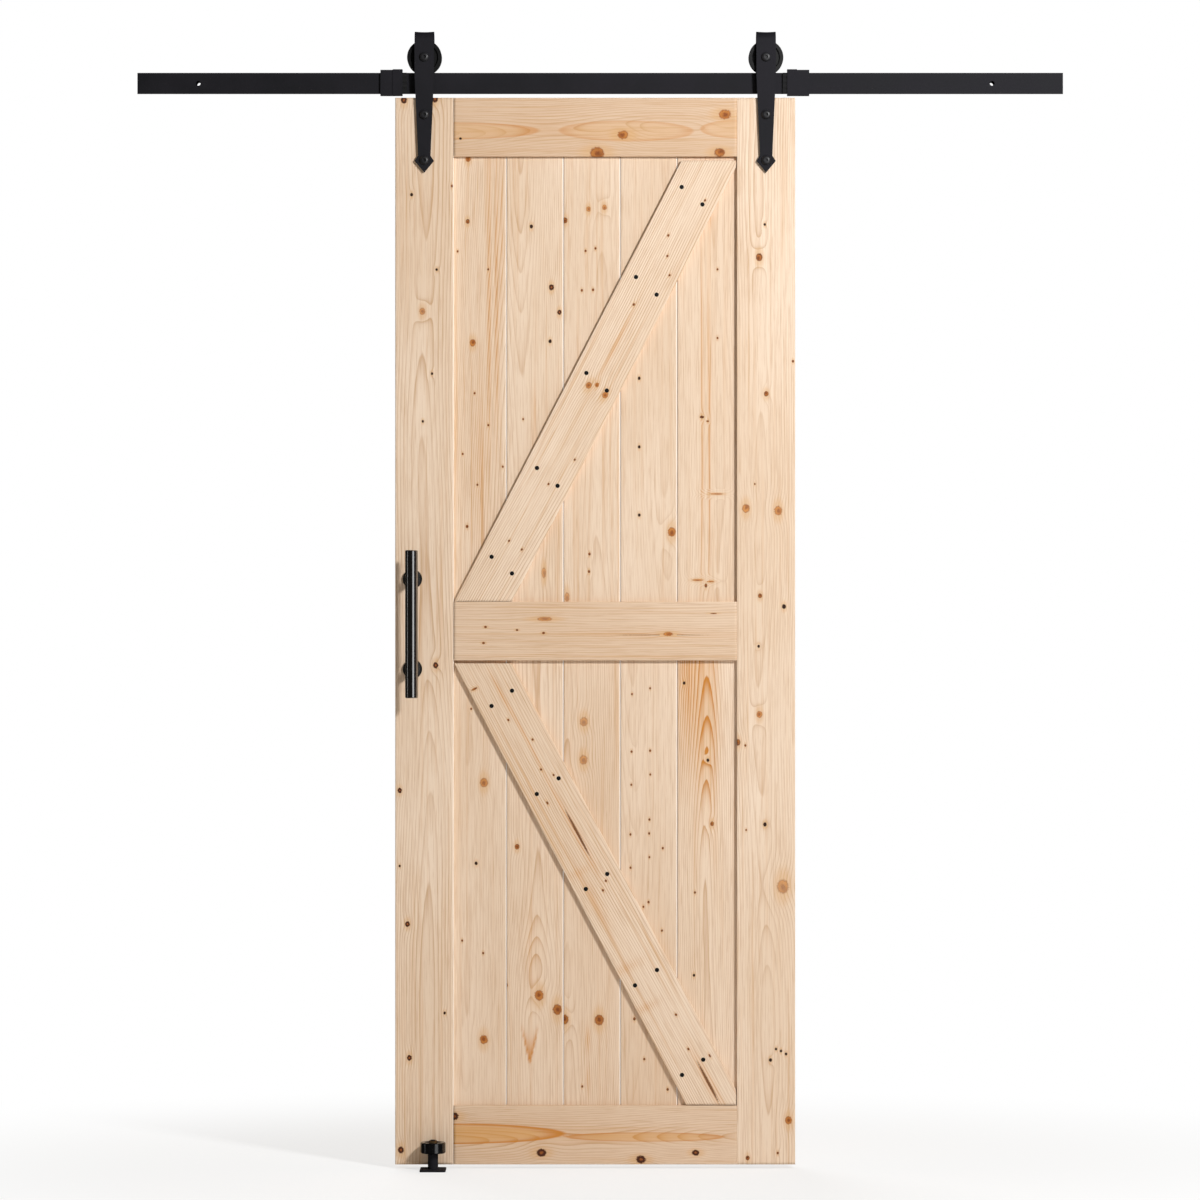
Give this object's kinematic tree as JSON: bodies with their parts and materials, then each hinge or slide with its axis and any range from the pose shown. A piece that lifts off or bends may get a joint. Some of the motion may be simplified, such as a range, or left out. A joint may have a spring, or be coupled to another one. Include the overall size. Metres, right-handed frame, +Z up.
{
  "type": "sliding barn door with track",
  "caption": "Sliding pine barn door with diagonal braces, hung from a flat black steel track on strap hangers with grooved wheels, with a pull handle and a floor guide roller.",
  "frame": {"origin": "on the wall, midway between the track's two fixing holes", "axes": "+X to the right seen from the front, +Y into the wall, +Z up"},
  "size_m": [1.765, 0.107, 2.167],
  "materials": {
    "pine": "matte",
    "black_steel": "satin",
    "wheel_nylon": "satin",
    "bumper_rubber": "matte",
    "yellow_zinc": "satin"
  },
  "bodies": {
    "track": {"track_rail": "black_steel", "left_standoff": "black_steel", "right_standoff": "black_steel", "right_stop": "black_steel", "right_stop_bumper": "bumper_rubber", "guide_plate": "black_steel", "guide_post": "black_steel", "guide_nut": "yellow_zinc"},
    "left_stop": {"left_stop": "black_steel", "left_stop_bumper": "bumper_rubber"},
    "left_wheel": {"left_wheel": "wheel_nylon"},
    "right_wheel": {"right_wheel": "wheel_nylon"},
    "guide_roller": {"guide_roller": "wheel_nylon"},
    "door": {"axle_nuts": "black_steel", "bottom_rail": "pine", "handle_bar": "black_steel", "handle_caps": "black_steel", "handle_lower_post": "black_steel", "handle_screws": "black_steel", "handle_upper_post": "black_steel", "hanger_sleeves": "black_steel", "left_axle_bolt": "black_steel", "left_hanger": "black_steel", "left_hanger_lower_bolt": "black_steel", "left_hanger_upper_bolt": "black_steel", "left_stile": "pine", "lower_board_1": "pine", "lower_board_2": "pine", "lower_board_3": "pine", "lower_board_4": "pine", "lower_board_5": "pine", "lower_brace": "pine", "middle_rail": "pine", "right_axle_bolt": "black_steel", "right_hanger": "black_steel", "right_hanger_lower_bolt": "black_steel", "right_hanger_upper_bolt": "black_steel", "right_stile": "pine", "top_rail": "pine", "upper_board_1": "pine", "upper_board_2": "pine", "upper_board_3": "pine", "upper_board_4": "pine", "upper_board_5": "pine", "upper_brace": "pine"}
  },
  "joints": [
    {"name": "door_slide", "type": "slide", "parent": "track", "child": "door", "axis": [-1, 0, 0], "range_m": [-0.007, 0.45]},
    {"name": "left_stop_slide", "type": "slide", "parent": "track", "child": "left_stop", "axis": [-1, 0, 0], "range_m": [-0.007, 0.45]},
    {"name": "left_wheel_spin", "type": "hinge", "parent": "door", "child": "left_wheel", "pos_m": [-0.3255, -0.033, 0.0488], "axis": [0, 1, 0], "continuous": true},
    {"name": "right_wheel_spin", "type": "hinge", "parent": "door", "child": "right_wheel", "pos_m": [0.3255, -0.033, 0.0488], "axis": [0, 1, 0], "continuous": true},
    {"name": "guide_roller_spin", "type": "hinge", "parent": "track", "child": "guide_roller", "pos_m": [-0.308, -0.074, -2.025], "axis": [0, 0, 1], "continuous": true}
  ],
  "couplings": [
    {"joint": "left_stop_slide", "follows": "door_slide", "ratio": 1},
    {"joint": "left_wheel_spin", "follows": "door_slide", "rad_per_m": -35.088},
    {"joint": "right_wheel_spin", "follows": "door_slide", "rad_per_m": -35.088}
  ]
}
